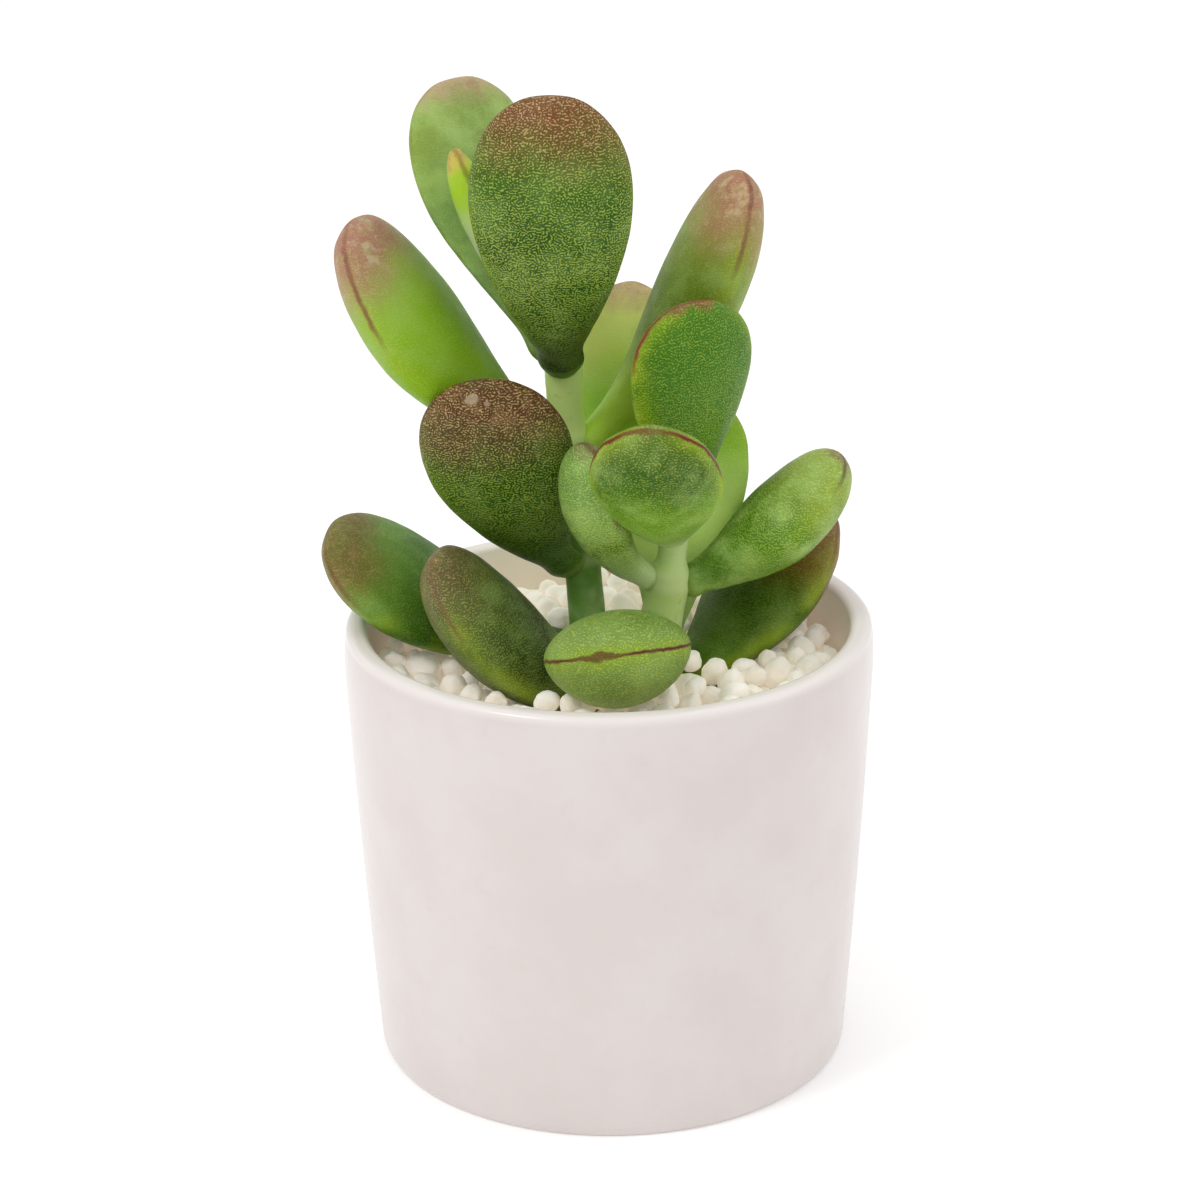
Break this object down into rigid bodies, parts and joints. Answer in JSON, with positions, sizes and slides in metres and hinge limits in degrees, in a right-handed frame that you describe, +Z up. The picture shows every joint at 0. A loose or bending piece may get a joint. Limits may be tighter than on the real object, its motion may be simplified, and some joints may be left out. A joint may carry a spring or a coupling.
{
  "type": "potted cotyledon",
  "caption": "Potted cotyledon succulent: plump paddle-shaped leaves in pairs on upright stems, rooted in soil under white granules in a round glazed pot.",
  "frame": {"origin": "middle of the pot's flat underside, where it rests on a surface", "axes": "+Z up along the pot's axis; -Y towards the viewer of the plant's front, with the shorter shoot in front; +X to the viewer's right"},
  "size_m": [0.0928, 0.0892, 0.1678],
  "materials": {
    "glaze": "gloss",
    "potting_mix": "matte",
    "white_granules": "matte",
    "stem": "satin",
    "leaf": "satin",
    "young_leaf": "satin"
  },
  "bodies": {
    "root": {"pot": "glaze", "soil": "potting_mix", "white_gravel": "white_granules", "main_stem": "stem", "front_stem": "stem", "leaf_top_front": "leaf", "leaf_top_back": "leaf", "leaf_bud_left": "young_leaf", "leaf_bud_right": "young_leaf", "leaf_upper_left": "leaf", "leaf_upper_right": "leaf", "leaf_middle_left": "leaf", "leaf_middle_back": "leaf", "leaf_rim_left": "leaf", "leaf_shoot_back": "leaf", "leaf_shoot_front": "leaf", "leaf_shoot_left": "leaf", "leaf_shoot_right": "leaf", "leaf_low_front": "leaf", "leaf_low_back": "leaf", "leaf_low_right": "leaf", "leaf_low_left": "leaf"}
  },
  "joints": []
}
